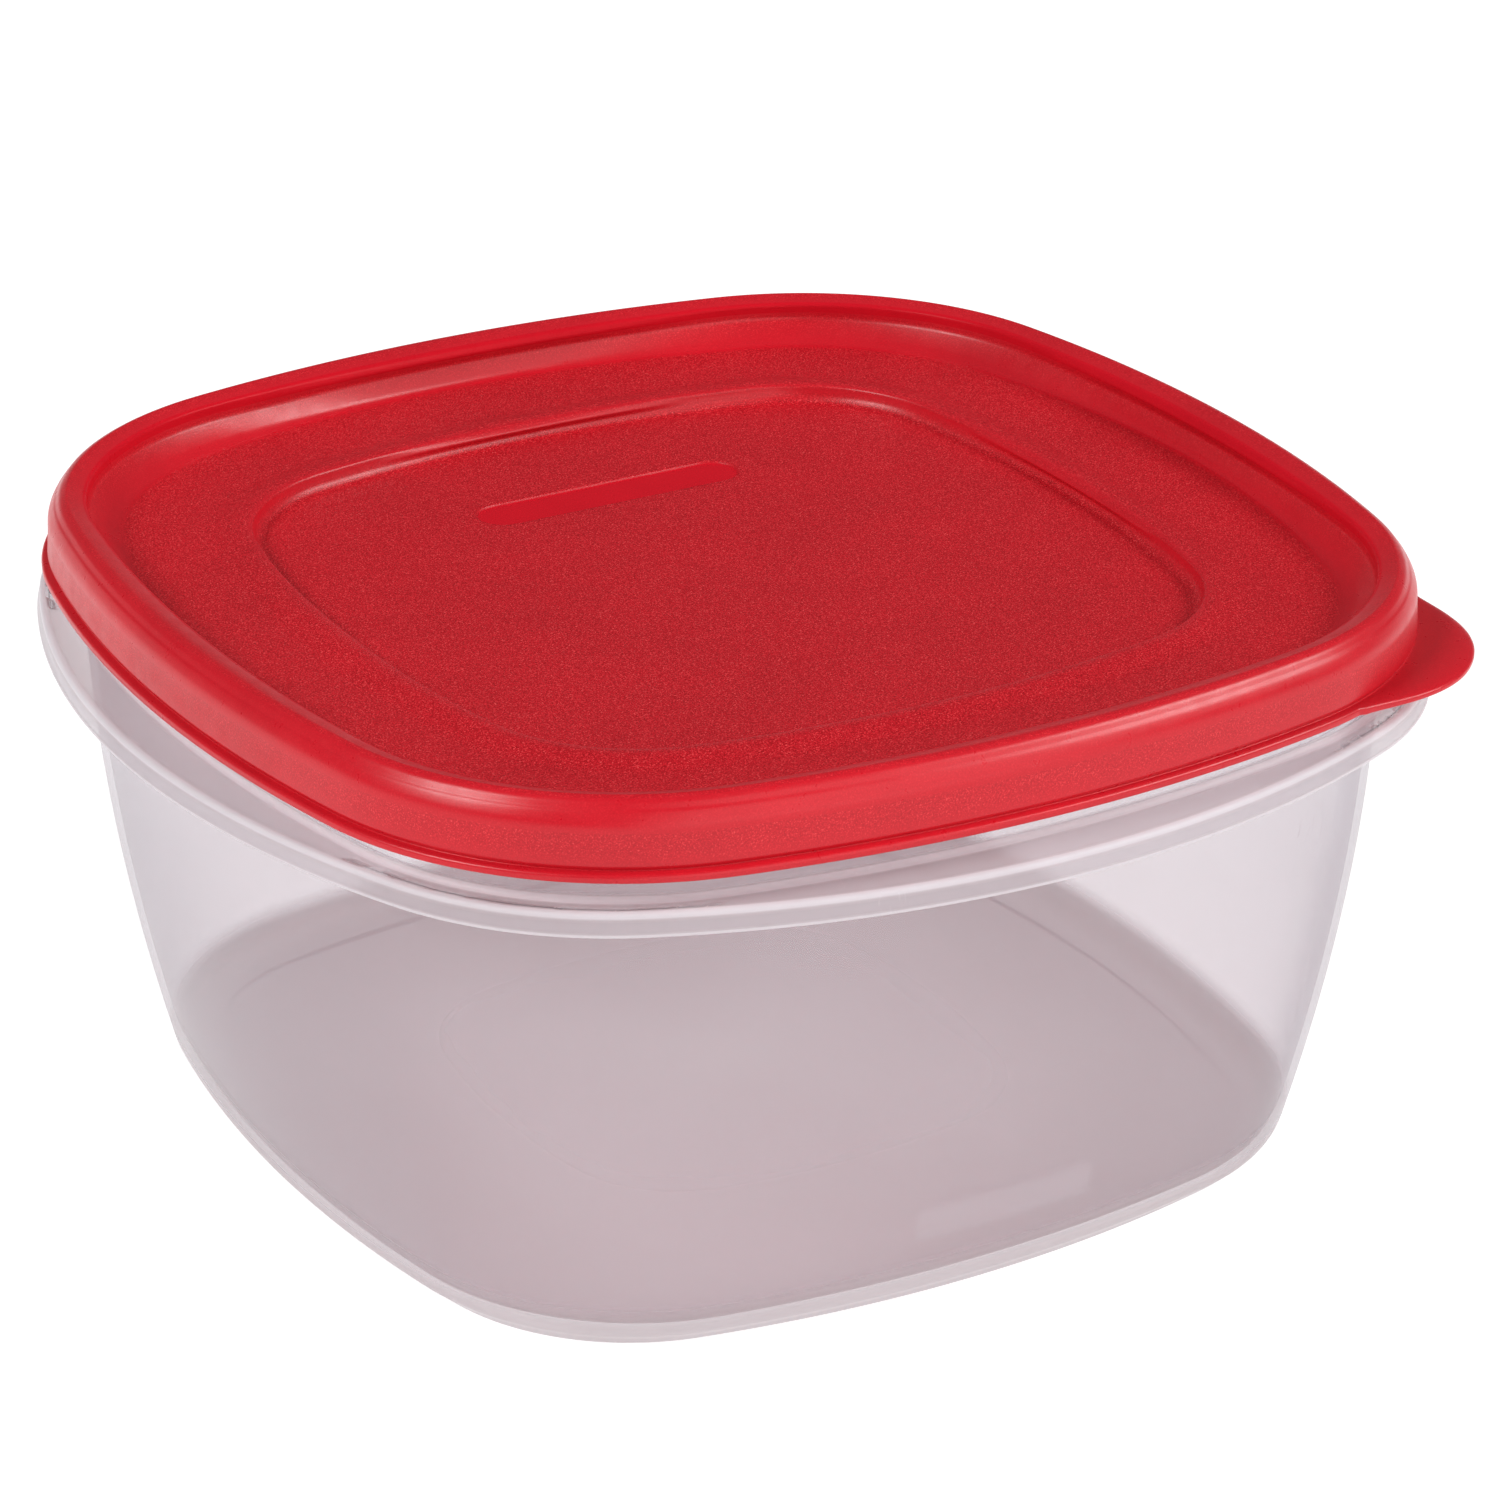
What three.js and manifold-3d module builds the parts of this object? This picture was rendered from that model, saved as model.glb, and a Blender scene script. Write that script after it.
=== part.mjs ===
// Square food storage container: a clear tub with a foot and an outer collar, and the lid that
// snaps over the tub's rim. Millimetres, +Z up, origin at the centre of the foot's underside.
import * as THREE from "three";
import { mergeVertices } from "three/addons/utils/BufferGeometryUtils.js";
import Module from "manifold-3d";

const wasm = await Module();
wasm.setup();

// Steps round each outline. A multiple of 8 puts a point on every mid-side and every corner.
const STEPS = 64;

// Every outline is a bowed square: its half width at mid-side, and the radii of its corner arcs
// and of its side arcs.
const FOOT = { half: 86.4, corner: 39.6, side: 228 };
const BODY_LOW = { half: 90.3, corner: 47.2, side: 266 };
const BODY_TOP = { half: 103.4, corner: 57.3, side: 243 };
const COLLAR = { half: 115.3, corner: 57.6, side: 176 };
const RIM = { half: 105.6, corner: 55.5, side: 275 };
const LID_EDGE = { half: 110, corner: 62, side: 270 };
const BROW = { half: 100.6, corner: 53, side: 300 };
const WELL = { half: 99, corner: 50, side: 190 };
const PANEL = { half: 73.2, corner: 31, side: 221 };

// Tub heights and thicknesses.
const FOOT_WIDTH = 2.4;
const HOLLOW_DEPTH = 2.2;
const FLOOR_TOP = 3.9;
const BODY_START = 4;
const BODY_END = 88.5;
const BELLY = 1.76;
const WALL = 1.3;
const COLLAR_BOTTOM = 88;
const COLLAR_WALL = 1.3;
const LEDGE_UNDER = 90.3;
const LEDGE_TOP = 92;
const RIM_WALL = 1.6;
const RIM_TOP = 107.9;
const RIM_ROLL = 2.2;
const SNAP_BEAD = 0.4;
const SNAP_BEAD_HEIGHT = 102;

// Lid heights and thicknesses.
const LID_BOTTOM = 96.8;
const LID_TOP = 110;
const LEDGE_LEVEL = 102.2;
const CREST_LEVEL = 103.3;
const CREST_WIDTH = 7;
const PANEL_LEVEL = 99.9;
const SHEET = 1.4;
const SKIRT_INSIDE = 3;
const CHANNEL_ROOF = 108.3;
const SEAL_WIDTH = 1.8;
const STACKING_LIP = 1.1;
const WELL_LIP_HALF_ANGLE = 0.48;
const PANEL_LIP_HALF_ANGLE = 0.42;

// Pull tab at one corner, measured along the diagonal and across it.
const TAB_REACH = 132.4;
const TAB_ROOT = 117.2;
const TAB_HALF_WIDTH = 26;
const TAB_THICKNESS = 1.4;

// Plain sunken plate in the panel.
const PLATE_LENGTH = 53;
const PLATE_WIDTH = 10;
const PLATE_DEPTH = 0.4;
const PLATE_Y = 41.5;

// Distance from the axis to a bowed square in the direction of an angle. lip is how far the
// outline stands in at the middle of each side, falling in an arch to nothing at arch from it.
function reach({ half, corner, side, lip = 0, arch = 1 }, angle) {
  const quarter = Math.PI / 2;
  const fold = Math.abs(angle - quarter * Math.round(angle / quarter));
  const sideCentre = half - side;
  const gap = side - corner;
  const cornerCentre = (sideCentre + Math.sqrt(2 * gap ** 2 - sideCentre ** 2)) / 2;
  const turn = Math.atan2(cornerCentre, cornerCentre - sideCentre);
  const meet = Math.atan2(side * Math.sin(turn), sideCentre + side * Math.cos(turn));
  const [x, y, radius] =
    fold < meet ? [sideCentre, 0, side] : [cornerCentre, cornerCentre, corner];
  const along = x * Math.cos(fold) + y * Math.sin(fold);
  const off = x * Math.sin(fold) - y * Math.cos(fold);
  const inward = lip * Math.max(0, 1 - (fold / arch) ** 2);
  return along + Math.sqrt(radius ** 2 - off ** 2) - inward;
}

// The outline set outwards by a distance.
function grow({ half, corner, side }, by) {
  return { half: half + by, corner: corner + by, side: side + by };
}

// The outline a share of the way from one to another.
function blend(from, to, share) {
  const mix = (key) => from[key] + (to[key] - from[key]) * share;
  return { half: mix("half"), corner: mix("corner"), side: mix("side") };
}

// The outside of the body at a height: steep above, tucked in towards the foot.
function body(z) {
  const rise = (z - BODY_START) / (BODY_END - BODY_START);
  return blend(BODY_LOW, BODY_TOP, 1 - (1 - rise) ** BELLY);
}

// A closed three.js geometry as a solid.
function solid(geometry) {
  geometry.deleteAttribute("normal");
  geometry.deleteAttribute("uv");
  const merged = mergeVertices(geometry, 1e-3);
  return new wasm.Manifold(
    new wasm.Mesh({
      numProp: 3,
      vertProperties: merged.attributes.position.array,
      triVerts: new Uint32Array(merged.index.array),
    }),
  );
}

// A solid from a profile of [outline, height] stations that starts and ends on the axis, where
// the outline is null. It is a turned shape whose rings are drawn out to their own outlines.
function loft(profile) {
  const points = profile.map(([outline, z]) => new THREE.Vector2(outline ? outline.half : 0, z));
  const geometry = new THREE.LatheGeometry(points, STEPS);
  const position = geometry.attributes.position;
  for (let i = 0; i < position.count; i++) {
    const [outline, z] = profile[i % profile.length];
    const angle = (2 * Math.PI * Math.floor(i / profile.length)) / STEPS;
    const radius = outline ? reach(outline, angle) : 0;
    position.setXYZ(i, radius * Math.cos(angle), radius * Math.sin(angle), z);
  }
  return solid(geometry);
}

// The tub is one moulding: a raised floor on a ring foot, tapered walls, an outward ledge with a
// short skirt, and an upright rim that the lid's channel closes over.
function makeTub() {
  const bodyHeights = [6, 11, 19, 32, 52, 72];
  const outside = bodyHeights.map((z) => [body(z), z]);
  const inside = bodyHeights.slice(1).map((z) => [grow(body(z), -WALL), z]);
  return loft([
    [null, HOLLOW_DEPTH],
    [grow(FOOT, -FOOT_WIDTH - 0.6), HOLLOW_DEPTH],
    [grow(FOOT, -FOOT_WIDTH), 0],
    [FOOT, 0],
    [blend(FOOT, BODY_LOW, 0.45), 0.5 * BODY_START],
    [blend(FOOT, BODY_LOW, 0.82), 0.9 * BODY_START],
    ...outside,
    [BODY_TOP, LEDGE_UNDER],
    [grow(COLLAR, -COLLAR_WALL), LEDGE_UNDER],
    [grow(COLLAR, -COLLAR_WALL), COLLAR_BOTTOM],
    [COLLAR, COLLAR_BOTTOM],
    [grow(COLLAR, -0.4), LEDGE_TOP - 1],
    [grow(COLLAR, -1.4), LEDGE_TOP],
    [grow(RIM, 0.8), LEDGE_TOP],
    [RIM, LEDGE_TOP + 0.8],
    [RIM, SNAP_BEAD_HEIGHT - 1.2],
    [grow(RIM, SNAP_BEAD), SNAP_BEAD_HEIGHT],
    [RIM, SNAP_BEAD_HEIGHT + 1.2],
    [grow(RIM, -0.4), RIM_TOP - 0.8],
    [grow(RIM, -0.9), RIM_TOP],
    [grow(RIM, 0.6 - RIM_ROLL), RIM_TOP],
    [grow(RIM, -RIM_ROLL), RIM_TOP - 0.8],
    [grow(RIM, -RIM_WALL), RIM_TOP - 5],
    [grow(RIM, -RIM_WALL), LEDGE_TOP + 0.4],
    [grow(BODY_TOP, -WALL), LEDGE_UNDER],
    ...inside.reverse(),
    [grow(BODY_LOW, -WALL - 1), FLOOR_TOP + 1.2],
    [grow(BODY_LOW, -WALL - 3.6), FLOOR_TOP],
    [null, FLOOR_TOP],
  ]);
}

// The outer faces of the lid down to a flat bottom: a thin edge, a skirt with a round shoulder, a
// crease and the bead above it, a well with a level ledge, and the sunken panel.
function lidOutside() {
  const wellLip = { ...BROW, lip: STACKING_LIP, arch: WELL_LIP_HALF_ANGLE };
  const panelLip = { ...PANEL, lip: STACKING_LIP, arch: PANEL_LIP_HALF_ANGLE };
  return loft([
    [null, LID_BOTTOM],
    [LID_EDGE, LID_BOTTOM],
    [LID_EDGE, LID_BOTTOM + 1.4],
    [grow(LID_EDGE, -2), LID_BOTTOM + 1.7],
    [grow(LID_EDGE, -1.15), LID_BOTTOM + 2.4],
    [grow(LID_EDGE, -1.5), LID_TOP - 6.5],
    [grow(LID_EDGE, -1.6), LID_TOP - 4.1],
    [grow(LID_EDGE, -2.65), LID_TOP - 2.1],
    [grow(LID_EDGE, -2.95), LID_TOP - 1.8],
    [grow(LID_EDGE, -3.75), LID_TOP - 0.7],
    [grow(LID_EDGE, -5), LID_TOP],
    [grow(BROW, 3), LID_TOP - 0.2],
    [grow(BROW, 0.3), LID_TOP - 1],
    [wellLip, LID_TOP - 2],
    [wellLip, LID_TOP - 3.2],
    [blend(BROW, WELL, 0.4), LID_TOP - 4.4],
    [WELL, LEDGE_LEVEL + 0.6],
    [grow(WELL, -0.8), LEDGE_LEVEL],
    [grow(PANEL, CREST_WIDTH), LEDGE_LEVEL],
    [grow(PANEL, 2.6), CREST_LEVEL],
    [grow(PANEL, 0.6), CREST_LEVEL - 0.1],
    [panelLip, CREST_LEVEL - 0.7],
    [panelLip, CREST_LEVEL - 1.6],
    [grow(PANEL, -0.4), CREST_LEVEL - 2.2],
    [grow(PANEL, -1.2), PANEL_LEVEL],
    [null, PANEL_LEVEL],
  ]);
}

// The space under the lid: the deep channel that takes the tub's rim, and the shallower hollow
// under the ledge and the panel.
function lidInside() {
  const below = LID_BOTTOM - 5;
  const underLedge = LEDGE_LEVEL - SHEET;
  const underPanel = PANEL_LEVEL - SHEET;
  return loft([
    [null, below],
    [grow(LID_EDGE, -SKIRT_INSIDE), below],
    [grow(LID_EDGE, -SKIRT_INSIDE), LID_BOTTOM + 3],
    [grow(LID_EDGE, -SKIRT_INSIDE - 0.1), CHANNEL_ROOF - 1.2],
    [grow(LID_EDGE, -SKIRT_INSIDE - 1), CHANNEL_ROOF],
    [grow(BROW, SEAL_WIDTH + 0.6), CHANNEL_ROOF],
    [grow(BROW, SEAL_WIDTH), CHANNEL_ROOF - 1],
    [grow(BROW, SHEET), CHANNEL_ROOF - 3],
    [grow(WELL, SHEET), underLedge + 0.6],
    [grow(WELL, 0.6), underLedge],
    [grow(PANEL, SHEET + 0.6), underLedge],
    [grow(PANEL, 0.6), underPanel],
    [null, underPanel],
  ]);
}

// A flat tongue on the lid's edge, drawn with its reach along +Y and turned to a corner.
function makeTab() {
  const shape = new THREE.Shape();
  const shoulder = 0.5 * TAB_HALF_WIDTH;
  const flank = TAB_HALF_WIDTH - 6;
  const rise = TAB_ROOT + 7.3;
  shape.moveTo(-TAB_HALF_WIDTH, 0.8 * TAB_ROOT);
  shape.lineTo(-TAB_HALF_WIDTH, TAB_ROOT);
  shape.bezierCurveTo(-flank, rise, -shoulder, TAB_REACH, 0, TAB_REACH);
  shape.bezierCurveTo(shoulder, TAB_REACH, flank, rise, TAB_HALF_WIDTH, TAB_ROOT);
  shape.lineTo(TAB_HALF_WIDTH, 0.8 * TAB_ROOT);
  const geometry = new THREE.ExtrudeGeometry(shape, {
    depth: TAB_THICKNESS,
    bevelEnabled: false,
    curveSegments: 8,
  });
  geometry.rotateZ((-3 * Math.PI) / 4);
  geometry.translate(0, 0, LID_BOTTOM);
  return solid(geometry);
}

// The cutter of the sunken plate: a bar with round ends.
function makePlate() {
  const shape = new THREE.Shape();
  const end = (PLATE_LENGTH - PLATE_WIDTH) / 2;
  const radius = PLATE_WIDTH / 2;
  shape.absarc(end, 0, radius, -Math.PI / 2, Math.PI / 2);
  shape.absarc(-end, 0, radius, Math.PI / 2, (3 * Math.PI) / 2);
  const geometry = new THREE.ExtrudeGeometry(shape, {
    depth: 2 * PLATE_DEPTH,
    bevelEnabled: false,
    curveSegments: 8,
  });
  geometry.translate(0, PLATE_Y, PANEL_LEVEL - PLATE_DEPTH);
  return solid(geometry);
}

// The lid is one moulding of even thickness with its tab.
function makeLid() {
  return lidOutside().add(makeTab()).subtract(lidInside()).subtract(makePlate());
}

// A named mesh from a solid.
function meshOf(name, made, material) {
  const { vertProperties, triVerts } = made.getMesh();
  const geometry = new THREE.BufferGeometry();
  geometry.setAttribute("position", new THREE.BufferAttribute(vertProperties, 3));
  geometry.setIndex(new THREE.BufferAttribute(triVerts, 1));
  geometry.computeVertexNormals();
  const mesh = new THREE.Mesh(geometry, material);
  mesh.name = name;
  return mesh;
}

const clearPlastic = new THREE.MeshStandardMaterial({
  color: 0xe4e2ea,
  roughness: 0.12,
  metalness: 0,
  transparent: true,
  opacity: 0.35,
});
const redPlastic = new THREE.MeshStandardMaterial({
  color: 0xb81c28,
  roughness: 0.45,
  metalness: 0,
});

const container = new THREE.Group();
container.add(meshOf("tub", makeTub(), clearPlastic));
container.add(meshOf("lid", makeLid(), redPlastic));

export default container;
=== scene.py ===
import math

import bmesh
import bpy
import numpy as np
from mathutils import Matrix, Vector


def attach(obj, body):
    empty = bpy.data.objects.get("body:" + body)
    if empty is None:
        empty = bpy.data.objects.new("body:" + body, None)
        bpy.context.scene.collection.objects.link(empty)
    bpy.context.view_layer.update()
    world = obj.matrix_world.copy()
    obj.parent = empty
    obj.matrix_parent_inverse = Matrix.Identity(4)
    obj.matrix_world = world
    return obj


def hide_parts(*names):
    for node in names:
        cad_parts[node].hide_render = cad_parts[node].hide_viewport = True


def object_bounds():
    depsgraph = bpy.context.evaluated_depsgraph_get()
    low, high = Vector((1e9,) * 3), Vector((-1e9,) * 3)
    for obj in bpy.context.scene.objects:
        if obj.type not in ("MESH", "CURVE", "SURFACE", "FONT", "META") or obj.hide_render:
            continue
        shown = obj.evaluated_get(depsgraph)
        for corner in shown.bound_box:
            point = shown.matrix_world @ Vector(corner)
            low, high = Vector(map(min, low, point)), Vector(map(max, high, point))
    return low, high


# The looks of a square food storage container: a clear tub and its red press-down lid, each one
# moulding. Shape sizes are in millimetres and are turned into metres as each mesh is made.
MM = 0.001

# Every outline is a bowed square: its half width at mid-side, and the radii of its corner arcs
# and of its side arcs.
FOOT = (86.4, 39.6, 228)
BODY_LOW = (90.3, 47.2, 266)
BODY_TOP = (103.4, 57.3, 243)
COLLAR = (115.3, 57.6, 176)
RIM = (105.6, 55.5, 275)
LID_EDGE = (110, 62, 270)
BROW = (100.6, 53, 300)
WELL = (99, 50, 190)
PANEL = (73.2, 31, 221)
CENTRE = (0, 0, 0)

# Tub heights and thicknesses.
FOOT_WIDTH = 2.4
HOLLOW_DEPTH = 2.2
FLOOR_TOP = 3.9
BODY_START = 4
BODY_END = 88.5
BELLY = 1.76
WALL = 1.3
COLLAR_BOTTOM = 88
COLLAR_WALL = 1.3
LEDGE_UNDER = 90.3
LEDGE_TOP = 92
RIM_WALL = 1.6
RIM_TOP = 107.9
RIM_ROLL = 2.2
SNAP_BEAD = 0.4
SNAP_BEAD_HEIGHT = 102

# Lid heights and thicknesses.
LID_BOTTOM = 96.8
LID_TOP = 110
LEDGE_LEVEL = 102.2
CREST_LEVEL = 103.3
CREST_WIDTH = 7
PANEL_LEVEL = 99.9
SHEET = 1.4
SKIRT_INSIDE = 3
CHANNEL_ROOF = 108.3
SEAL_WIDTH = 1.8
STACKING_LIP = 1.1
WELL_LIP_HALF_ANGLE = 0.48
PANEL_LIP_HALF_ANGLE = 0.42

# Pull tab at one corner, measured along the diagonal and across it.
TAB_ANGLE = -math.pi / 4
TAB_REACH = 132.4
TAB_ROOT = 117.2
TAB_HALF_WIDTH = 26
TAB_BLEND = 1.6

# Plain sunken plate in the panel.
PLATE_LENGTH = 53
PLATE_WIDTH = 10
PLATE_DEPTH = 0.4
PLATE_Y = 41.5

# Plain frosted patch low on the tub's side at -Y. PATCH_START is how far out that side begins.
PATCH_X = 1.8
PATCH_Z = 17.5
PATCH_WIDTH = 34.5
PATCH_HEIGHT = 6.6
PATCH_START = 85
PATCH_SOFT_EDGE = 0.15

# Mesh fineness: points round the object and across the tab, and rings in a bend and up the body.
# GUARD is how near an extra ring lies to each end of a wide face.
STEPS = 320
TAB_STEPS = 72
BEND_STEPS = 6
GUARD = 0.5
BODY_STEPS = 30

# Colours of the red plastic, from the dark of its grain to a painted glint on a speck, and of the
# clear one.
RED_DARK = (0.33, 0.0010, 0.005)
RED_LIGHT = (0.71, 0.011, 0.024)
RED_PAINTED_GLINT = (0.90, 0.15, 0.14)
CLEAR_FACING = (0.955, 0.94, 0.95)
CLEAR_GRAZING = (0.70, 0.68, 0.71)
MILK_PLAIN = (0.80, 0.77, 0.81)
MILK_FROSTED = (0.66, 0.60, 0.62)
# The next colour whitens the folds of the collar and the rim's foot: a painted highlight line, partly
# also the milk of thicker plastic.
MILK_CREASE_HIGHLIGHT = (0.88, 0.84, 0.87)
GRAIN_SCALE = 3700

# The floor, in metres: how far it reaches each way, and its gap under the foot.
FLOOR_REACH = 4
FLOOR_GAP = 0.0001

# The camera, from its bearing round the object, its height angle and its distance.
CAMERA_YAW = math.radians(-30.18)
CAMERA_PITCH = math.radians(24.40)
CAMERA_ROLL = math.radians(0.23)
CAMERA_DISTANCE = 0.9543
CAMERA_AIM_RIGHT = 0.0050
CAMERA_AIM_UP = 0.06485
CAMERA_LENS = 128.31
SENSOR = 36

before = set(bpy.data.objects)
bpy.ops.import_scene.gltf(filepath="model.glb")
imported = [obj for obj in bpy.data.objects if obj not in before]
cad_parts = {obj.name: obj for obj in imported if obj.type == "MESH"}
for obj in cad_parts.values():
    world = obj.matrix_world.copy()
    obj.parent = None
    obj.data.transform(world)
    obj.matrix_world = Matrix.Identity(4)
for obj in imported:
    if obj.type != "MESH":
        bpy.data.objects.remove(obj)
cad_low, cad_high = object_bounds()


def reach(half, corner, side, angle):
    """Distance from the axis to a bowed square in the direction of each angle."""
    quarter = math.pi / 2
    fold = np.abs(angle - quarter * np.round(angle / quarter))
    side_centre = half - side
    gap = side - corner
    corner_centre = (side_centre + math.sqrt(2 * gap**2 - side_centre**2)) / 2
    turn = math.atan2(corner_centre, corner_centre - side_centre)
    meet = math.atan2(side * math.sin(turn), side_centre + side * math.cos(turn))
    on_side = fold < meet
    x = np.where(on_side, side_centre, corner_centre)
    y = np.where(on_side, 0, corner_centre)
    radius = np.where(on_side, side, corner)
    along = x * np.cos(fold) + y * np.sin(fold)
    off = x * np.sin(fold) - y * np.cos(fold)
    return along + np.sqrt(radius**2 - off**2)


def tab_bulge(angle):
    """How far the pull tab carries the lid's edge out at each angle, with a soft inside corner."""
    t = np.linspace(0, 1, 200)
    across = [TAB_HALF_WIDTH, TAB_HALF_WIDTH - 6, TAB_HALF_WIDTH / 2, 0]
    along = [TAB_ROOT, TAB_ROOT + 7.3, TAB_REACH, TAB_REACH]
    share = [(1 - t) ** 3, 3 * t * (1 - t) ** 2, 3 * t**2 * (1 - t), t**3]
    x = sum(a * s for a, s in zip(across, share))
    y = sum(a * s for a, s in zip(along, share))
    off = np.abs((angle - TAB_ANGLE + math.pi) % (2 * math.pi) - math.pi)
    turned = np.arctan2(x, y)[::-1]
    tab = np.interp(off, turned, np.hypot(x, y)[::-1], right=0)
    edge = reach(*LID_EDGE, angle)
    apart = tab - edge
    return np.where(apart > -40, (apart + np.sqrt(apart**2 + TAB_BLEND**2)) / 2, 0)


def window(angle, half_angle):
    """1 at the middle of each side, falling in a smooth arch to 0 at half_angle from it."""
    quarter = math.pi / 2
    fold = np.abs(angle - quarter * np.round(angle / quarter))
    return np.clip(1 - (fold / half_angle) ** 2, 0, None)


def at(outline, height, grown=0, bend=0, lip=0, tab=0, **surface):
    """One station of a profile: an outline set outwards by grown, at a height. bend is how far
    the profile is rounded either side of it, lip how far it overhangs along each mid-side, tab
    how much of the pull tab it carries, and surface its texture values."""
    half, corner, side = outline
    place = [half + grown, corner + grown, side + grown] if half else [0, 0, 0]
    return {"place": np.array([*place, height, lip, tab], float), "bend": bend, **surface}


def mix(first, second, share):
    """The outline a share of the way from one to another."""
    return tuple(a + (b - a) * share for a, b in zip(first, second))


def body(height):
    """The outside of the tub's body at a height: steep above, tucked in towards the foot."""
    rise = (height - BODY_START) / (BODY_END - BODY_START)
    return mix(BODY_LOW, BODY_TOP, 1 - (1 - rise) ** BELLY)


def rounded(stations):
    """The stations with each bend drawn as a short curve."""
    drawn = []
    for i, here in enumerate(stations):
        if not here["bend"] or i in (0, len(stations) - 1):
            drawn.append(here)
            continue
        before, after = stations[i - 1]["place"], stations[i + 1]["place"]
        centre = here["place"]
        legs = []
        for other in (before, after):
            length = math.hypot(other[0] - centre[0], other[3] - centre[3])
            legs.append(centre + (other - centre) * min(here["bend"] / length, 0.49))
        for t in np.linspace(0, 1, BEND_STEPS + 1):
            place = (1 - t) ** 2 * legs[0] + 2 * t * (1 - t) * centre + t**2 * legs[1]
            drawn.append({**here, "place": place})
    return drawn


def guarded(rings):
    """The rings with one more close to each end of every wide face, which keeps the wide face's
    shading level right up to its bends."""
    drawn = [rings[0]]
    for here, after in zip(rings, rings[1:]):
        gap = after["place"] - here["place"]
        length = math.hypot(gap[0], gap[3])
        if length > 8 * GUARD:
            share = GUARD / length
            if here["place"][0]:
                drawn.append({**here, "place": here["place"] + gap * share})
            if after["place"][0]:
                drawn.append({**after, "place": after["place"] - gap * share})
        drawn.append(after)
    return drawn


def angles():
    """Directions round the axis, closer together where the tab is."""
    even = np.linspace(0, 2 * math.pi, STEPS, endpoint=False)
    span = math.atan2(TAB_HALF_WIDTH + 3, TAB_ROOT)
    near = np.linspace(TAB_ANGLE - span, TAB_ANGLE + span, TAB_STEPS) % (2 * math.pi)
    away = np.abs((even - TAB_ANGLE + math.pi) % (2 * math.pi) - math.pi) > span + 0.006
    return np.sort(np.concatenate([even[away], near]))


def plate_ring(before, spread, height):
    """The outline of the plain plate, set outwards by spread. Each point lies on the line from
    a point of the ring before to the plate's middle."""
    radius = PLATE_WIDTH / 2 + spread
    straight = (PLATE_LENGTH - PLATE_WIDTH) / 2
    points = []
    for x, y, _ in before:
        length = math.hypot(x, y - PLATE_Y)
        cos, sin = x / length, (y - PLATE_Y) / length
        away = radius / max(abs(sin), 1e-6)
        if away * abs(cos) > straight:
            away = straight * abs(cos) + math.sqrt(radius**2 - (straight * sin) ** 2)
        points.append((away * cos, away * sin + PLATE_Y, height))
    return points


def loft(name, stations):
    """A closed mesh from a profile that starts and ends on the axis. Each ring follows its own
    outline, and each texture value of the stations becomes a point attribute."""
    rings = guarded(rounded(stations))
    turn = angles()
    bulge = tab_bulge(turn)
    points, values = [], {key: [] for key in ("grain", "frost") if key in rings[0]}
    ends = []
    for ring in rings:
        half, corner, side, height, lip, tab = ring["place"]
        if ring.get("plate") is not None:
            ring_points = plate_ring(ring_points, ring["plate"], height)
        elif half == 0:
            ring_points = [(0, ring.get("middle", 0), height)]
        else:
            radius = reach(half, corner, side, turn) + tab * bulge
            if lip:
                radius = radius - lip * window(turn, ring["arch"])
            ring_points = [
                (r * math.cos(a), r * math.sin(a), height) for r, a in zip(radius, turn)
            ]
        ends.append((len(points), len(ring_points)))
        points += ring_points
        for key, found in values.items():
            found += [ring[key]] * len(ring_points)
    faces = []
    count = len(turn)
    for (low, low_count), (high, high_count) in zip(ends, ends[1:]):
        for j in range(count):
            k = (j + 1) % count
            if low_count == 1:
                faces.append((low, high + k, high + j))
            elif high_count == 1:
                faces.append((low + j, low + k, high))
            else:
                faces.append((low + j, low + k, high + k, high + j))
    mesh = bpy.data.meshes.new(name)
    mesh.from_pydata([Vector(p) * MM for p in points], [], faces)
    for key, found in values.items():
        attribute = mesh.attributes.new(key, "FLOAT", "POINT")
        attribute.data.foreach_set("value", np.array(found, np.float32))
    made = bpy.data.objects.new(name, mesh)
    bpy.context.scene.collection.objects.link(made)
    outwards(mesh)
    mesh.shade_smooth()
    return made


def outwards(mesh):
    """Turns the faces of a closed mesh outwards."""
    work = bmesh.new()
    work.from_mesh(mesh)
    bmesh.ops.recalc_face_normals(work, faces=work.faces)
    if work.calc_volume(signed=True) < 0:
        bmesh.ops.reverse_faces(work, faces=work.faces)
    work.to_mesh(mesh)
    work.free()


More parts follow.
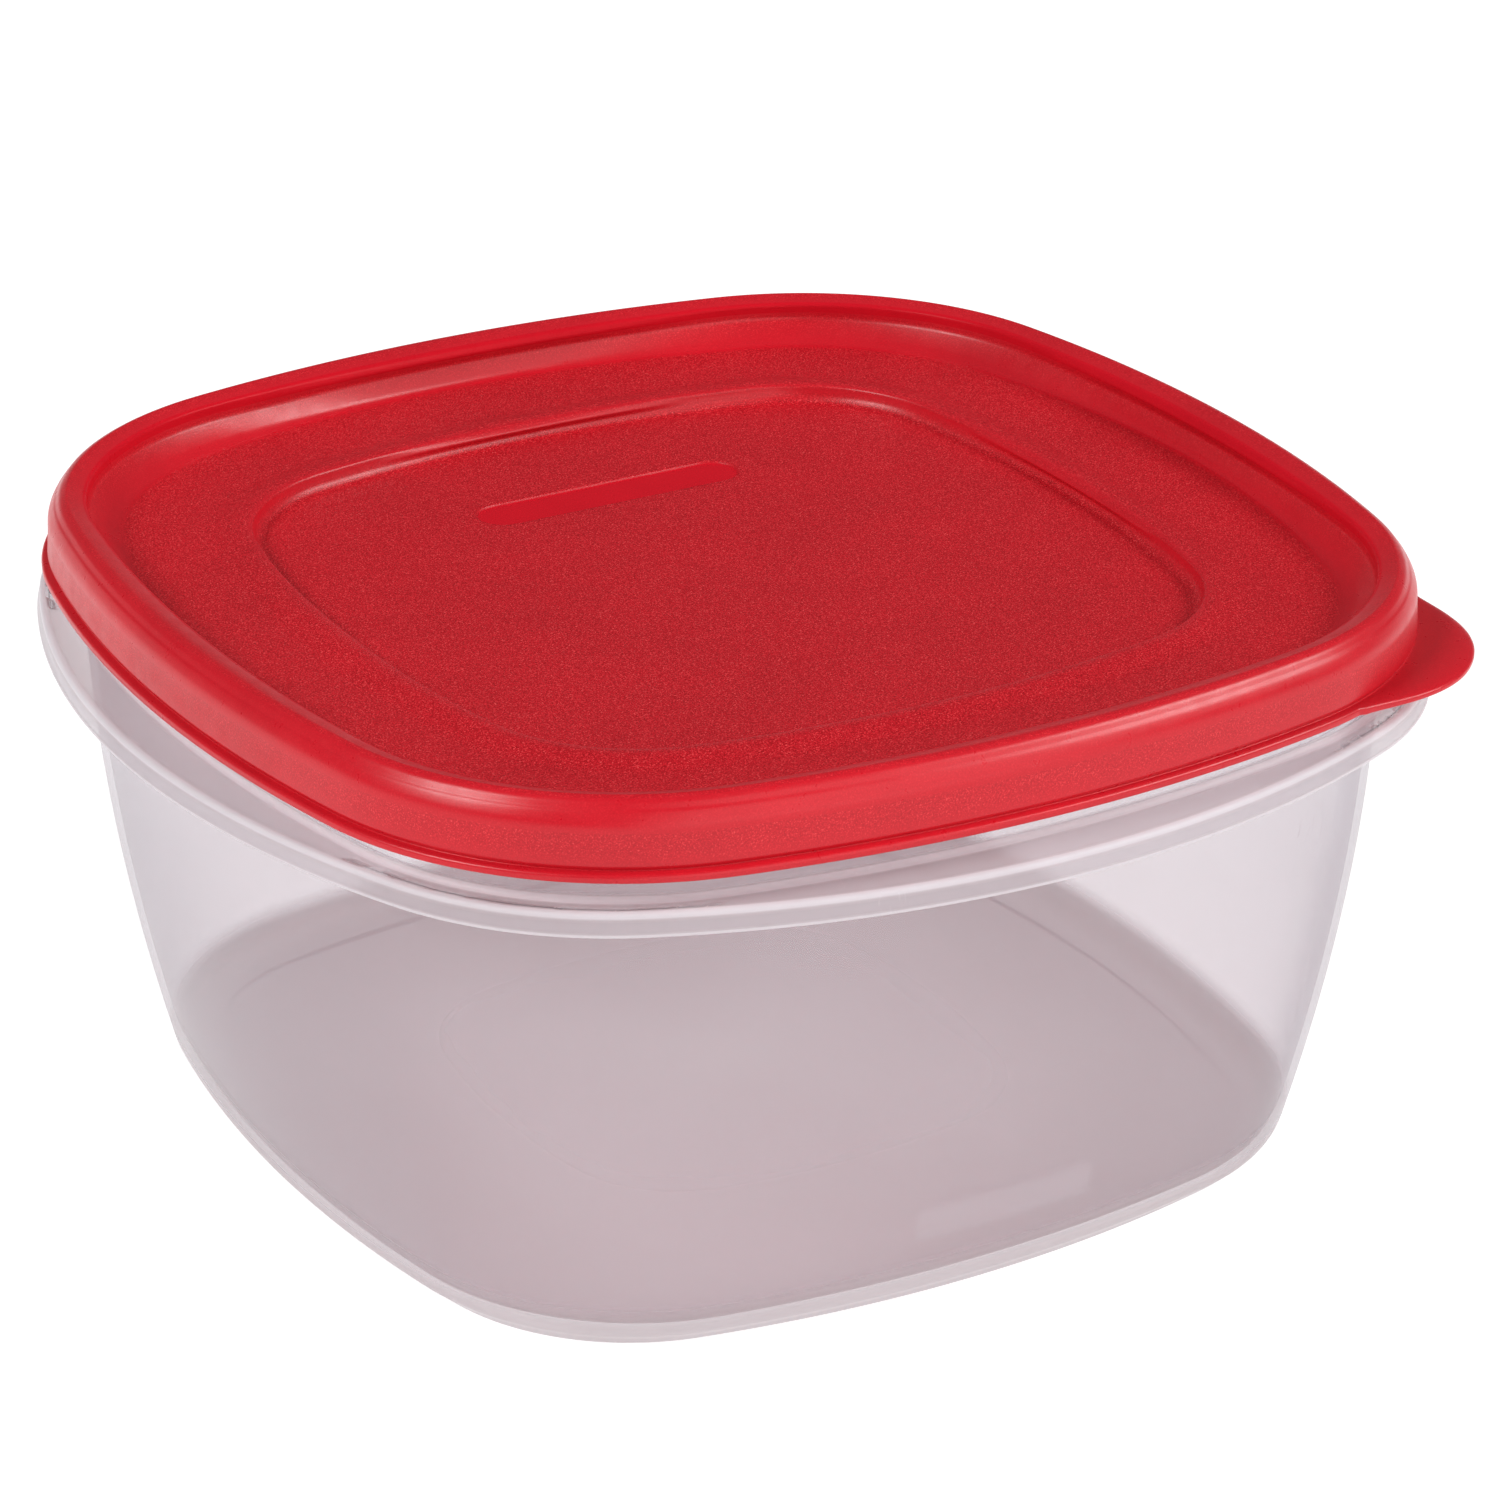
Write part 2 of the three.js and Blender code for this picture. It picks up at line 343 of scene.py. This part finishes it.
def make_tub():
    """The tub: a raised floor on a ring foot, tapered walls, an outward ledge with a short
    skirt, and an upright rim. frost is how matt and milky the plastic is. At the collar's folds
    and the rim's foot it is raised further, which paints whiter highlight lines there, partly
    also the milk of thicker plastic."""
    clear, base, foot, skirt, ledge, crease_highlight, rim = 0.0, 0.5, 1.3, 0.8, 1.0, 1.8, 0.15
    heights = np.linspace(BODY_START + 3, BODY_END - 2, BODY_STEPS)
    outside = [at(body(z), z, frost=base if z < 9 else clear) for z in heights]
    inside = [at(body(z), z, -WALL, frost=clear) for z in heights[::-1] if z > FLOOR_TOP + 5]
    return loft("tub_shell", [
        at(CENTRE, HOLLOW_DEPTH, frost=foot),
        at(FOOT, HOLLOW_DEPTH, -FOOT_WIDTH - 1.1, bend=0.9, frost=foot),
        at(FOOT, 0, -FOOT_WIDTH, bend=0.5, frost=foot),
        at(FOOT, 0, bend=0.5, frost=foot),
        at(mix(FOOT, BODY_LOW, 0.45), BODY_START / 2, bend=0.8, frost=foot),
        at(BODY_LOW, BODY_START, bend=1.8, frost=foot),
        *outside,
        at(BODY_TOP, LEDGE_UNDER, bend=0.8, frost=clear),
        at(COLLAR, LEDGE_UNDER, -COLLAR_WALL, bend=0.7, frost=skirt),
        at(COLLAR, COLLAR_BOTTOM, -COLLAR_WALL, bend=0.4, frost=skirt),
        at(COLLAR, COLLAR_BOTTOM, bend=0.5, frost=crease_highlight),
        at(COLLAR, COLLAR_BOTTOM + 1, -0.15, frost=skirt),
        at(COLLAR, LEDGE_TOP - 1.5, -0.5, frost=skirt),
        at(COLLAR, LEDGE_TOP, -0.7, bend=0.9, frost=crease_highlight),
        at(COLLAR, LEDGE_TOP, -2.4, frost=ledge),
        at(RIM, LEDGE_TOP, 1.6, frost=ledge),
        at(RIM, LEDGE_TOP, bend=0.9, frost=crease_highlight),
        at(RIM, LEDGE_TOP + 1.6, frost=rim),
        at(RIM, SNAP_BEAD_HEIGHT - 1.2, bend=0.6, frost=rim),
        at(RIM, SNAP_BEAD_HEIGHT, SNAP_BEAD, bend=0.6, frost=rim),
        at(RIM, SNAP_BEAD_HEIGHT + 1.2, bend=0.6, frost=rim),
        at(RIM, RIM_TOP, -0.2, bend=0.8, frost=rim),
        at(RIM, RIM_TOP, -RIM_ROLL, bend=0.7, frost=rim),
        at(RIM, RIM_TOP - 5, -RIM_WALL, bend=1.5, frost=rim),
        at(RIM, LEDGE_TOP + 0.4, -RIM_WALL, bend=0.8, frost=rim),
        at(BODY_TOP, LEDGE_UNDER, -WALL, bend=1.0, frost=clear),
        *inside,
        at(BODY_LOW, FLOOR_TOP, -WALL - 0.6, bend=4.2, frost=foot),
        at(CENTRE, FLOOR_TOP, frost=clear),
    ])


def make_lid():
    """The lid: a thin edge with the pull tab, a groove, a skirt, a rounded bead, a well with a
    level ledge, and a sunken panel. Underneath is the deep channel that takes the tub's rim.
    grain is how strongly the surface is textured."""
    smooth, fine, full = 0.1, 0.45, 1.0
    well = {"arch": WELL_LIP_HALF_ANGLE}
    panel = {"arch": PANEL_LIP_HALF_ANGLE}
    under_ledge = LEDGE_LEVEL - SHEET
    under_panel = PANEL_LEVEL - SHEET
    floor = PANEL_LEVEL - PLATE_DEPTH
    top = [
        at(LID_EDGE, LID_BOTTOM, -0.1, bend=0.3, tab=1, grain=smooth),
        at(LID_EDGE, LID_BOTTOM + 1.4, -0.05, bend=0.7, tab=1, grain=smooth),
        at(LID_EDGE, LID_BOTTOM + 1.6, -1.7, bend=0.3, grain=smooth),
        at(LID_EDGE, LID_BOTTOM + 2.4, -1.2, bend=0.4, grain=smooth),
        at(LID_EDGE, LID_TOP - 6.5, -1.5, bend=1.8, grain=fine),
        at(LID_EDGE, LID_TOP - 4.1, -1.55, bend=1.3, grain=smooth),
        at(LID_EDGE, LID_TOP - 2.2, -2.6, bend=0.8, grain=smooth),
        at(LID_EDGE, LID_TOP - 1.75, -3.05, bend=0.25, grain=smooth),
        at(LID_EDGE, LID_TOP - 0.7, -3.75, bend=0.5, grain=smooth),
        at(LID_EDGE, LID_TOP, -5.0, bend=0.7, grain=fine),
        at(BROW, LID_TOP - 0.2, 3.0, bend=0.6, grain=fine, **well),
        # grain 0 on the fold and the wall under it gives a lighter red without sheen; the lighter red
        # is painted light on the shaded undercut.
        at(BROW, LID_TOP - 1.2, 0.0, bend=0.6, grain=0, **well),
        at(BROW, LID_TOP - 2.3, bend=0.4, lip=0.7 * STACKING_LIP, grain=0, **well),
        at(BROW, LID_TOP - 4.0, bend=0.5, grain=fine, **well),
        at(WELL, LEDGE_LEVEL, bend=1.3, grain=smooth),
        at(WELL, LEDGE_LEVEL, -2.0, grain=full),
        at(PANEL, LEDGE_LEVEL, CREST_WIDTH, bend=1.6, grain=full),
        at(PANEL, CREST_LEVEL, 2.4, bend=1.3, grain=full),
        at(PANEL, CREST_LEVEL - 0.3, 0.2, bend=0.5, grain=fine, **panel),
        at(PANEL, CREST_LEVEL - 1.3, bend=0.3, lip=STACKING_LIP, grain=smooth, **panel),
        at(PANEL, CREST_LEVEL - 2.3, -0.3, bend=0.4, grain=fine, **panel),
        at(PANEL, PANEL_LEVEL, -1.2, bend=0.7, grain=full),
        at(PANEL, PANEL_LEVEL, -2.8, grain=full),
        at(CENTRE, PANEL_LEVEL, plate=0.8, grain=full),
        at(CENTRE, PANEL_LEVEL, plate=0.15, grain=full),
        at(CENTRE, PANEL_LEVEL - 0.08, plate=0, grain=fine),
        at(CENTRE, floor + 0.06, plate=-0.12, grain=smooth),
        at(CENTRE, floor, plate=-0.3, grain=0),
        at(CENTRE, floor, plate=-0.9, grain=0),
        at(CENTRE, floor, middle=PLATE_Y, grain=0),
    ]
    below = [
        at(CENTRE, under_panel, grain=fine),
        at(PANEL, under_panel, 0.6, bend=0.8, grain=fine),
        at(PANEL, under_ledge, SHEET + 0.6, bend=0.8, grain=fine),
        at(WELL, under_ledge, 0.9, bend=0.6, grain=fine),
        at(BROW, CHANNEL_ROOF - 3, SHEET, bend=0.6, grain=smooth),
        at(BROW, CHANNEL_ROOF, SEAL_WIDTH, bend=0.9, grain=smooth),
        at(LID_EDGE, CHANNEL_ROOF, -SKIRT_INSIDE, bend=1.2, grain=smooth),
        at(LID_EDGE, LID_BOTTOM, -SKIRT_INSIDE, bend=0.4, grain=smooth),
    ]
    for station in below + top:
        station.setdefault("arch", 1)
    return loft("lid_shell", below + top)


def node(tree, kind, **settings):
    """A new shader node. Settings that name an input set it, and others set the node itself."""
    made = tree.nodes.new(kind)
    for key, value in settings.items():
        name = key.replace("_", " ")
        if name in made.inputs:
            made.inputs[name].default_value = value
        else:
            setattr(made, key, value)
    return made


def material(name):
    """An empty node material and its Principled node."""
    made = bpy.data.materials.new(name)
    made.use_nodes = True
    tree = made.node_tree
    tree.nodes.clear()
    shader = tree.nodes.new("ShaderNodeBsdfPrincipled")
    output = tree.nodes.new("ShaderNodeOutputMaterial")
    tree.links.new(shader.outputs[0], output.inputs[0])
    return made, tree, shader


def noise(tree, scale, detail=2, roughness=0.5):
    """A noise texture in the object's own coordinates, turned so that its cells lie askew."""
    place = tree.nodes.new("ShaderNodeTexCoord")
    turned = node(tree, "ShaderNodeMapping", Rotation=(0.6, 0.45, 0.3))
    made = node(tree, "ShaderNodeTexNoise", Scale=scale, Detail=detail, Roughness=roughness)
    tree.links.new(place.outputs["Object"], turned.inputs["Vector"])
    tree.links.new(turned.outputs[0], made.inputs["Vector"])
    return made


def span(tree, source, low, high, to_low, to_high):
    """A value mapped from one range to another, and held inside it."""
    made = tree.nodes.new("ShaderNodeMapRange")
    for name, value in zip(("From Min", "From Max", "To Min", "To Max"), (low, high, to_low, to_high)):
        made.inputs[name].default_value = value
    tree.links.new(source, made.inputs["Value"])
    return made.outputs["Result"]


def product(tree, first, second):
    """Two values multiplied. second is an output or a number."""
    made = node(tree, "ShaderNodeMath", operation="MULTIPLY")
    tree.links.new(first, made.inputs[0])
    if isinstance(second, (int, float)):
        made.inputs[1].default_value = second
    else:
        tree.links.new(second, made.inputs[1])
    return made.outputs[0]


def red_plastic():
    """Moulded red plastic: grain with painted glints on the textured faces, satin on the smooth ones,
    whose lighter red is partly painted light.
    """
    made, tree, shader = material("lid_red")
    link = tree.links.new
    grain = node(tree, "ShaderNodeAttribute", attribute_name="grain").outputs["Fac"]
    speck = noise(tree, GRAIN_SCALE, 1, 0.6).outputs["Fac"]
    cloud = noise(tree, 38, 3, 0.6).outputs["Fac"]
    smear = noise(tree, 260, 3, 0.7).outputs["Fac"]

    # Low grain holds the red to an even tone lighter than the grain's middle. The lift is painted
    # light: it brightens the shaded undercut under the bead's inner fold, where grain is 0, and
    # lightens the other smooth faces and the plate as well.
    spread = tree.nodes.new("ShaderNodeMapRange")
    spread.inputs["From Min"].default_value = 0.34
    spread.inputs["From Max"].default_value = 0.68
    link(speck, spread.inputs["Value"])
    link(span(tree, grain, 0, 1, 0.60, 0.0), spread.inputs["To Min"])
    link(span(tree, grain, 0, 1, 0.70, 1.0), spread.inputs["To Max"])
    colour = node(tree, "ShaderNodeMix", data_type="RGBA")
    colour.inputs[6].default_value = (*RED_DARK, 1)
    colour.inputs[7].default_value = (*RED_LIGHT, 1)
    link(spread.outputs["Result"], colour.inputs[0])
    # The brightest specks of the grain turn pinkish where grain is high: painted glints.
    glint_mix = node(tree, "ShaderNodeMix", data_type="RGBA")
    glint_mix.inputs[7].default_value = (*RED_PAINTED_GLINT, 1)
    link(product(tree, span(tree, speck, 0.60, 0.80, 0, 0.8), grain), glint_mix.inputs[0])
    link(colour.outputs[2], glint_mix.inputs[6])
    shade = node(tree, "ShaderNodeMix", data_type="RGBA", blend_type="MULTIPLY")
    shade.inputs[0].default_value = 1
    link(glint_mix.outputs[2], shade.inputs[6])
    link(span(tree, cloud, 0.3, 0.7, 0.94, 1.05), shade.inputs[7])
    link(shade.outputs[2], shader.inputs["Base Color"])

    rough = node(tree, "ShaderNodeMath", operation="ADD")
    link(span(tree, grain, 0, 1, 0.29, 0.42), rough.inputs[0])
    link(span(tree, smear, 0.35, 0.7, -0.03, 0.05), rough.inputs[1])
    link(rough.outputs[0], shader.inputs["Roughness"])
    bump = node(tree, "ShaderNodeBump", Distance=0.00006)
    link(span(tree, grain, 0, 1, 0.08, 0.8), bump.inputs["Strength"])
    link(speck, bump.inputs["Height"])
    link(bump.outputs[0], shader.inputs["Normal"])
    shader.inputs["IOR"].default_value = 1.49
    link(span(tree, grain, 0, 0.1, 0.05, 0.38), shader.inputs["Specular IOR Level"])
    return made


def power(tree, source, exponent):
    """A value raised to a fixed power."""
    made = node(tree, "ShaderNodeMath", operation="POWER")
    tree.links.new(source, made.inputs[0])
    made.inputs[1].default_value = exponent
    return made.outputs[0]


def total(tree, *sources):
    """Values added up and held between 0 and 1."""
    sum_so_far = sources[0]
    for source in sources[1:]:
        made = node(tree, "ShaderNodeMath", operation="ADD", use_clamp=True)
        tree.links.new(sum_so_far, made.inputs[0])
        tree.links.new(source, made.inputs[1])
        sum_so_far = made.outputs[0]
    return sum_so_far


def blend(tree, share, first, second):
    """Two colours mixed by a value."""
    made = node(tree, "ShaderNodeMix", data_type="RGBA")
    made.inputs[6].default_value = (*first, 1)
    made.inputs[7].default_value = (*second, 1)
    tree.links.new(share, made.inputs[0])
    return made.outputs[2]


def patch_mask(tree):
    """1 inside the plain frosted patch low on the tub's side at -Y, else 0."""
    place = tree.nodes.new("ShaderNodeTexCoord")
    split = tree.nodes.new("ShaderNodeSeparateXYZ")
    tree.links.new(place.outputs["Object"], split.inputs[0])
    inside = span(tree, split.outputs["Y"], -(PATCH_START + 1) * MM, -PATCH_START * MM, 1, 0)
    for axis, middle, half in (("X", PATCH_X, PATCH_WIDTH / 2), ("Z", PATCH_Z, PATCH_HEIGHT / 2)):
        away = node(tree, "ShaderNodeMath", operation="SUBTRACT")
        tree.links.new(split.outputs[axis], away.inputs[0])
        away.inputs[1].default_value = middle * MM
        size = node(tree, "ShaderNodeMath", operation="ABSOLUTE")
        tree.links.new(away.outputs[0], size.inputs[0])
        soft = PATCH_SOFT_EDGE
        edge = span(tree, size.outputs[0], (half - soft) * MM, (half + soft) * MM, 1, 0)
        inside = product(tree, inside, edge)
    return inside


def scratches(tree, lean, where):
    """Fine short scratches that run one way, gathered into a few scuffed places."""
    place = tree.nodes.new("ShaderNodeTexCoord")
    turned = tree.nodes.new("ShaderNodeMapping")
    turned.inputs["Rotation"].default_value = lean
    turned.inputs["Scale"].default_value = (1, 1, 0.06)
    tree.links.new(place.outputs["Object"], turned.inputs["Vector"])
    lines = node(tree, "ShaderNodeTexNoise", Scale=1500, Detail=1, Roughness=0.5)
    tree.links.new(turned.outputs[0], lines.inputs["Vector"])
    area = span(tree, noise(tree, where, 1).outputs["Fac"], 0.60, 0.72, 0, 1)
    return product(tree, span(tree, lines.outputs["Fac"], 0.66, 0.74, 0, 1), area)


def clear_plastic():
    """Clear moulded polypropylene with a slight milky haze, frosted where frost is high, with painted
    highlight lines where it is highest. A sight line that grazes the wall runs longer inside it,
    so there the plastic is darker and hazier."""
    made, tree, shader = material("tub_clear")
    tree.nodes.remove(shader)
    link = tree.links.new
    frost = node(tree, "ShaderNodeAttribute", attribute_name="frost").outputs["Fac"]
    facing = node(tree, "ShaderNodeLayerWeight", Blend=0.5).outputs["Facing"]
    wave = noise(tree, 60, 2, 0.5).outputs["Fac"]
    cloud = noise(tree, 25, 3, 0.6).outputs["Fac"]
    bump = node(tree, "ShaderNodeBump", Distance=0.0002, Strength=0.1)
    link(wave, bump.inputs["Height"])

    through = tree.nodes.new("ShaderNodeBsdfTransparent")
    link(blend(tree, power(tree, facing, 3), CLEAR_FACING, CLEAR_GRAZING), through.inputs["Color"])
    # Frost above 1.3, at the collar's folds and the rim's foot, turns the milk whiter still: a painted
    # highlight line, partly also the milk of thicker plastic.
    milk = node(tree, "ShaderNodeMix", data_type="RGBA")
    milk.inputs[7].default_value = (*MILK_CREASE_HIGHLIGHT, 1)
    link(span(tree, frost, 1.3, 1.8, 0, 1), milk.inputs[0])
    link(blend(tree, span(tree, frost, 0, 1, 0, 1), MILK_PLAIN, MILK_FROSTED), milk.inputs[6])
    front = tree.nodes.new("ShaderNodeBsdfDiffuse")
    behind = tree.nodes.new("ShaderNodeBsdfTranslucent")
    veil = node(tree, "ShaderNodeMixShader", Fac=0.4)
    for slot, side in ((1, front), (2, behind)):
        link(milk.outputs[2], side.inputs["Color"])
        link(side.outputs[0], veil.inputs[slot])
    haze = total(
        tree,
        span(tree, frost, 0, 2, 0.03, 0.85),
        span(tree, cloud, 0.3, 0.7, 0.0, 0.03),
        product(tree, power(tree, facing, 6), 0.35),
        product(tree, patch_mask(tree), 0.10),
        product(tree, scratches(tree, (0.5, 0.2, 0.3), 11), 0.35),
    )
    hazy = tree.nodes.new("ShaderNodeMixShader")
    link(haze, hazy.inputs[0])
    link(through.outputs[0], hazy.inputs[1])
    link(veil.outputs[0], hazy.inputs[2])

    shine = node(tree, "ShaderNodeBsdfGlossy", Color=(1, 1, 1, 1))
    link(span(tree, frost, 0, 2, 0.09, 0.60), shine.inputs["Roughness"])
    link(bump.outputs[0], shine.inputs["Normal"])
    whole = tree.nodes.new("ShaderNodeMixShader")
    link(span(tree, power(tree, facing, 5), 0, 1, 0.035, 0.45), whole.inputs[0])
    link(hazy.outputs[0], whole.inputs[1])
    link(shine.outputs[0], whole.inputs[2])
    output = next(n for n in tree.nodes if n.type == "OUTPUT_MATERIAL")
    link(whole.outputs[0], output.inputs[0])
    return made


def floor_material():
    """Pale and lit a little from below, as a light table is."""
    made, tree, shader = material("floor_pale")
    soft = noise(tree, 3, 2).outputs["Fac"]
    tone = node(tree, "ShaderNodeMix", data_type="RGBA")
    tone.inputs[6].default_value = (0.26, 0.26, 0.26, 1)
    tone.inputs[7].default_value = (0.30, 0.30, 0.30, 1)
    tree.links.new(soft, tone.inputs[0])
    tree.links.new(tone.outputs[2], shader.inputs["Base Color"])
    shader.inputs["Roughness"].default_value = 0.9
    shader.inputs["Specular IOR Level"].default_value = 0.1
    shader.inputs["Emission Color"].default_value = (1, 1, 1, 1)
    shader.inputs["Emission Strength"].default_value = 0.88
    return made


def make_floor():
    """A wide plain floor just under the foot."""
    mesh = bpy.data.meshes.new("floor")
    work = bmesh.new()
    bmesh.ops.create_grid(work, x_segments=8, y_segments=8, size=FLOOR_REACH)
    work.to_mesh(mesh)
    work.free()
    floor = bpy.data.objects.new("floor", mesh)
    bpy.context.scene.collection.objects.link(floor)
    floor.location.z = cad_low.z - FLOOR_GAP
    mesh.materials.append(floor_material())


def sun(name, towards, strength, softness):
    """A soft light from far away in a direction. softness is its width in degrees."""
    data = bpy.data.lights.new(name, "SUN")
    data.energy = strength
    data.angle = math.radians(softness)
    light = bpy.data.objects.new(name, data)
    bpy.context.scene.collection.objects.link(light)
    light.rotation_mode = "QUATERNION"
    light.rotation_quaternion = Vector(towards).to_track_quat("Z", "Y")


def make_light():
    """A dim surround with a pale band round the horizon, a soft light high on each side and a
    weaker, broader one low in front."""
    world = bpy.data.worlds.new("studio")
    bpy.context.scene.world = world
    world.use_nodes = True
    tree = world.node_tree
    tree.nodes.clear()
    place = tree.nodes.new("ShaderNodeTexCoord")
    split = tree.nodes.new("ShaderNodeSeparateXYZ")
    tree.links.new(place.outputs["Generated"], split.inputs[0])
    level = total(
        tree,
        span(tree, split.outputs["Z"], 0.08, 0.16, 0.45, 0.0),
        span(tree, split.outputs["Z"], 0.35, 0.8, 0.10, 0.16),
    )
    shader = node(tree, "ShaderNodeBackground", Color=(0.97, 0.98, 1, 1))
    tree.links.new(level, shader.inputs["Strength"])
    output = tree.nodes.new("ShaderNodeOutputWorld")
    tree.links.new(shader.outputs[0], output.inputs[0])
    sun("left_light", (-0.75, 0.0, 0.66), 2.0, 25)
    sun("right_light", (0.66, -0.42, 0.62), 1.7, 25)
    sun("front_fill", (0.12, -0.95, 0.28), 1.1, 60)


def make_camera():
    """The camera, standing back from a point above the middle of the foot."""
    cos, sin = math.cos, math.sin
    back = Vector((
        sin(CAMERA_YAW) * cos(CAMERA_PITCH),
        -cos(CAMERA_YAW) * cos(CAMERA_PITCH),
        sin(CAMERA_PITCH),
    ))
    right = Vector((cos(CAMERA_YAW), sin(CAMERA_YAW), 0))
    up = back.cross(right)
    rolled_right = right * cos(CAMERA_ROLL) + up * sin(CAMERA_ROLL)
    rolled_up = up * cos(CAMERA_ROLL) - right * sin(CAMERA_ROLL)
    data = bpy.data.cameras.new("camera")
    data.sensor_width = SENSOR
    data.lens = CAMERA_LENS
    data.clip_start, data.clip_end = 0.01, 50
    camera = bpy.data.objects.new("camera", data)
    bpy.context.scene.collection.objects.link(camera)
    place = right * CAMERA_AIM_RIGHT + Vector((0, 0, CAMERA_AIM_UP)) + back * CAMERA_DISTANCE
    turn = Matrix((rolled_right, rolled_up, back)).transposed().to_4x4()
    camera.matrix_world = Matrix.Translation(place) @ turn
    bpy.context.scene.camera = camera


make_camera()
make_light()
make_floor()

tub = make_tub()
tub.data.materials.append(clear_plastic())
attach(tub, "tub")
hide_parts("tub")

lid = make_lid()
lid.data.materials.append(red_plastic())
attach(lid, "lid")
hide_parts("lid")

scene = bpy.context.scene
scene.view_settings.view_transform = "Standard"
scene.cycles.max_bounces = 24
scene.cycles.transmission_bounces = 20
scene.cycles.glossy_bounces = 6
scene.cycles.diffuse_bounces = 4
scene.cycles.transparent_max_bounces = 32
